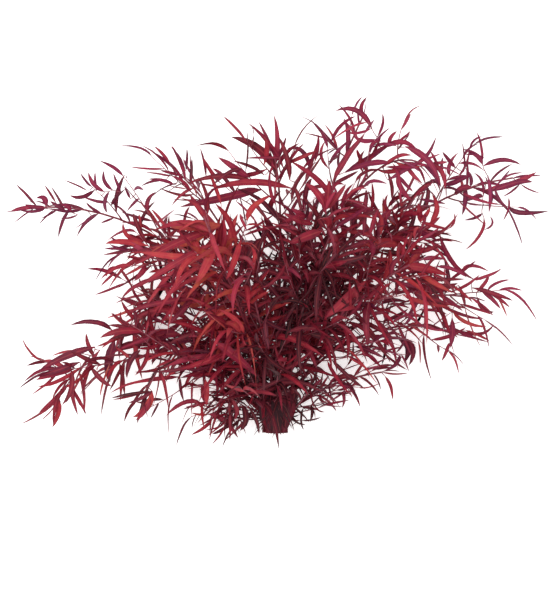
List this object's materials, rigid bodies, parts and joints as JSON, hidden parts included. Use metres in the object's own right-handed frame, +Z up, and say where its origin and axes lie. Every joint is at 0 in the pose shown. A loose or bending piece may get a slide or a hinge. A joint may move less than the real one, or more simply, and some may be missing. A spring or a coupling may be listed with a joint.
{
  "type": "dried eucalyptus bunch",
  "caption": "Fan-shaped bunch of dried, dark red dyed stems with narrow sickle-shaped leaves, lying flat with the cut ends together.",
  "frame": {"origin": "on the table, under the middle of the box round the whole bunch", "axes": "+X to the right across the fan, +Y along the bunch from the cut ends to the tips, +Z up off the table"},
  "size_m": [0.7002, 0.4612, 0.236],
  "materials": {
    "dyed_leafy_stem": "matt"
  },
  "bodies": {
    "root": {"stem_far_left": "dyed_leafy_stem", "stem_upper_left": "dyed_leafy_stem", "stem_top_left": "dyed_leafy_stem", "stem_top": "dyed_leafy_stem", "stem_top_right": "dyed_leafy_stem", "stem_far_right": "dyed_leafy_stem", "stem_right": "dyed_leafy_stem", "stem_right_lower": "dyed_leafy_stem", "stem_right_low": "dyed_leafy_stem", "stem_front_low": "dyed_leafy_stem", "stem_left_droop": "dyed_leafy_stem", "stem_left_low": "dyed_leafy_stem", "stem_left": "dyed_leafy_stem", "stem_left_back": "dyed_leafy_stem", "stem_bottom_left": "dyed_leafy_stem", "stem_front_left": "dyed_leafy_stem", "stem_front_right": "dyed_leafy_stem", "stem_right_front": "dyed_leafy_stem", "stem_back": "dyed_leafy_stem", "stem_right_middle": "dyed_leafy_stem", "stem_left_middle": "dyed_leafy_stem"}
  },
  "joints": []
}
